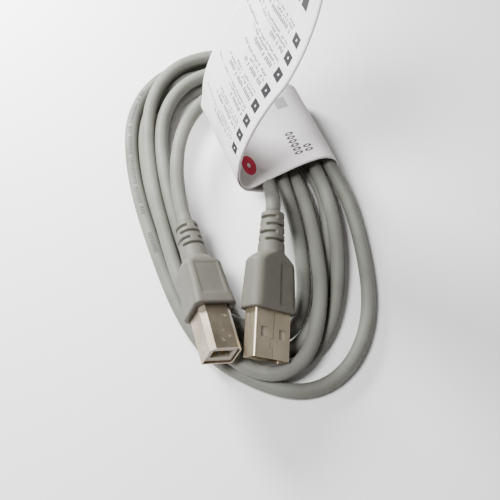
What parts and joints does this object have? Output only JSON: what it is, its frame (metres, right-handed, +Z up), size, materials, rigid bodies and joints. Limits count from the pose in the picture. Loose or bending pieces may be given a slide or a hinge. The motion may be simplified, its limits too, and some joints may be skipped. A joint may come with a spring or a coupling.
{
  "type": "coiled peripheral data lead",
  "caption": "Coiled grey data lead with a flat plug and a square plug, gathered in a folded paper band with a standing flag.",
  "frame": {"origin": "centre of the footprint on the plane that the coil lies on", "axes": "+Z up from that plane, -Y towards the two plugs' tips, the coil's long way close to Y"},
  "size_m": [0.0728, 0.1144, 0.0837],
  "materials": {
    "cable_jacket": "satin grey vinyl",
    "overmould_vinyl": "fine-grained grey vinyl",
    "label_paper": null,
    "plug_shell": "nickel-plated sheet",
    "crimp_metal": "plated sheet",
    "contact_gold": "gold-plated strip",
    "insulator_plastic": "natural plastic",
    "inner_mould_plastic": "natural polyethylene",
    "wire_red": "insulated wire",
    "wire_white": "insulated wire",
    "wire_green": "insulated wire",
    "wire_black": "insulated wire"
  },
  "bodies": {
    "lead": {"cable_coil": "cable_jacket", "cable_lead_a": "cable_jacket", "cable_lead_b": "cable_jacket", "label_band": "label_paper"},
    "plug_a": {"plug_a_shell": "plug_shell", "plug_a_insulator": "insulator_plastic", "plug_a_contact_1": "contact_gold", "plug_a_contact_2": "contact_gold", "plug_a_contact_3": "contact_gold", "plug_a_contact_4": "contact_gold", "plug_a_wire_red": "wire_red", "plug_a_wire_white": "wire_white", "plug_a_wire_green": "wire_green", "plug_a_wire_black": "wire_black", "plug_a_inner_mould": "inner_mould_plastic", "plug_a_crimp_ring": "crimp_metal", "plug_a_overmould": "overmould_vinyl", "plug_a_strain_relief": "overmould_vinyl", "plug_a_cable_end": "cable_jacket"},
    "plug_b": {"plug_b_shell": "plug_shell", "plug_b_insulator": "insulator_plastic", "plug_b_contact_1": "contact_gold", "plug_b_contact_2": "contact_gold", "plug_b_contact_3": "contact_gold", "plug_b_contact_4": "contact_gold", "plug_b_wire_red": "wire_red", "plug_b_wire_white": "wire_white", "plug_b_wire_green": "wire_green", "plug_b_wire_black": "wire_black", "plug_b_inner_mould": "inner_mould_plastic", "plug_b_crimp_ring": "crimp_metal", "plug_b_overmould": "overmould_vinyl", "plug_b_strain_relief": "overmould_vinyl", "plug_b_cable_end": "cable_jacket"},
    "flag": {"label_flag_front": "label_paper", "label_flag_back": "label_paper"}
  },
  "joints": [
    {"name": "plug_a_lift", "type": "hinge", "parent": "lead", "child": "plug_a", "pos_m": [0.00803, -0.01669, 0.01576], "axis": [-0.9986, 0.0523, 0], "range_deg": [0, 45], "stiffness_Nm_per_rad": 0.004, "deforming": ["plug_a_strain_relief", "plug_a_cable_end"]},
    {"name": "plug_b_lift", "type": "hinge", "parent": "lead", "child": "plug_b", "pos_m": [-0.01364, -0.0169, 0.01029], "axis": [-0.9636, -0.2672, 0], "range_deg": [0, 45], "stiffness_Nm_per_rad": 0.004, "deforming": ["plug_b_strain_relief", "plug_b_cable_end"]},
    {"name": "flag_fold", "type": "hinge", "parent": "lead", "child": "flag", "pos_m": [-0.00415, 0.01349, 0.0096], "axis": [-0.3907, 0.9205, 0], "range_deg": [-18, 60], "stiffness_Nm_per_rad": 0.004}
  ]
}
